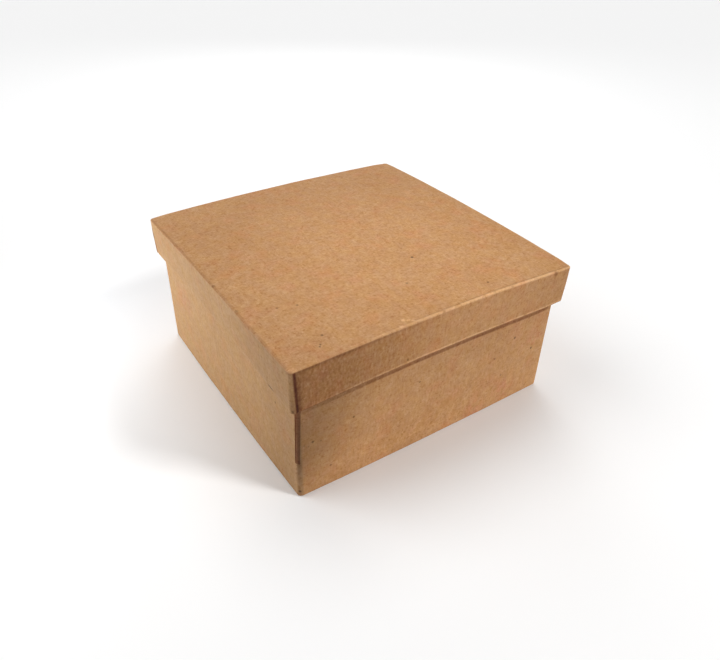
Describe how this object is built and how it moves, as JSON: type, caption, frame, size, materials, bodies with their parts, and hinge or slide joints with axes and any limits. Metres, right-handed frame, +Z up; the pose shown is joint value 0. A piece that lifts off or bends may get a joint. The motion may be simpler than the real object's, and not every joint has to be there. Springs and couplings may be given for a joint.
{
  "type": "papier-mache box",
  "caption": "Square papier-mache keepsake box covered in brown kraft paper, with a shallow crowned lid that lifts straight off over the base.",
  "frame": {"origin": "centre of the underside, on the surface that the box stands on", "axes": "+Z up, along the lid's lift; -Y out of the wide face at the right of the picture; -X out of the other visible side"},
  "size_m": [0.203, 0.203, 0.1016],
  "materials": {
    "kraft_skin": "matte layered kraft paper, warm brown, faintly mottled and fibrous, burnished at the corners",
    "chipboard": "matte grey-brown chipboard",
    "gummed_tape": "gummed kraft tape, slightly shiny",
    "lining_paper": "matte kraft lining paper"
  },
  "bodies": {
    "base": {"base_floor_board": "chipboard", "base_front_board": "chipboard", "base_right_board": "chipboard", "base_back_board": "chipboard", "base_left_board": "chipboard", "base_corner_stay_front_right": "gummed_tape", "base_corner_stay_back_right": "gummed_tape", "base_corner_stay_back_left": "gummed_tape", "base_corner_stay_front_left": "gummed_tape", "base_wrap": "kraft_skin", "base_bottom_sheet": "kraft_skin", "base_wall_lining": "lining_paper", "base_floor_lining": "lining_paper"},
    "lid": {"lid_top_board": "chipboard", "lid_front_board": "chipboard", "lid_right_board": "chipboard", "lid_back_board": "chipboard", "lid_left_board": "chipboard", "lid_corner_stay_front_right": "gummed_tape", "lid_corner_stay_back_right": "gummed_tape", "lid_corner_stay_back_left": "gummed_tape", "lid_corner_stay_front_left": "gummed_tape", "lid_wrap": "kraft_skin", "lid_lining": "lining_paper"}
  },
  "joints": [
    {"name": "lid_lift", "type": "slide", "parent": "base", "child": "lid", "axis": [0, 0, 1], "range_m": [0, 0.15]}
  ]
}
